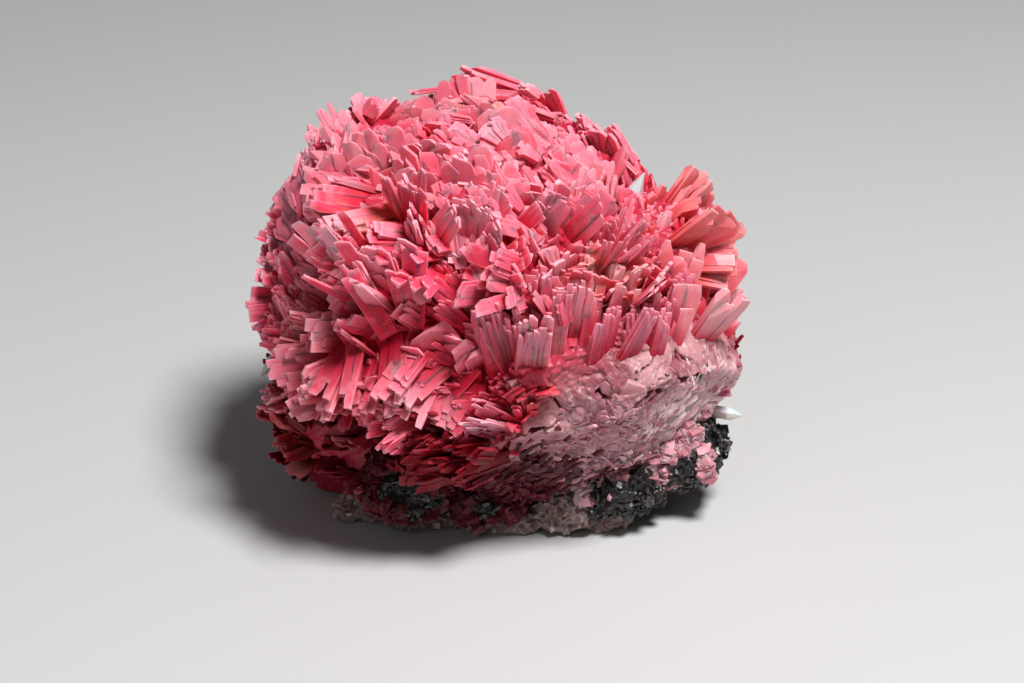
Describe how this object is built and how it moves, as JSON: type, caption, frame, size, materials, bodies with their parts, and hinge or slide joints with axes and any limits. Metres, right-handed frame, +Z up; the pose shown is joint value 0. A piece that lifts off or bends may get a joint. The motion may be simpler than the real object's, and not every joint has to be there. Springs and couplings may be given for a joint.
{
  "type": "rhodonite mineral specimen",
  "caption": "Rounded mass of overlapping sprays of flat pink crystals on a black matrix edged with pale quartz; it stands on its flat broken underside.",
  "frame": {"origin": "on the flat broken face that the specimen rests on, under the middle of the pink mass", "axes": "+Z up, -Y out of the front with the block-ended sprays, +X to the right as seen from the front"},
  "size_m": [0.0475, 0.0457, 0.0402],
  "materials": {
    "rhodonite": "satin",
    "manganese_matrix": "matte",
    "pale_quartz": "satin",
    "clear_quartz": "gloss"
  },
  "bodies": {
    "root": {"rhodonite_crystals": "rhodonite", "black_matrix": "manganese_matrix", "pale_quartz": "pale_quartz", "quartz_crystal_left": "clear_quartz", "quartz_crystal_left_upper": "clear_quartz", "quartz_crystal_right_upper": "clear_quartz", "quartz_crystal_right_lower": "clear_quartz"}
  },
  "joints": []
}
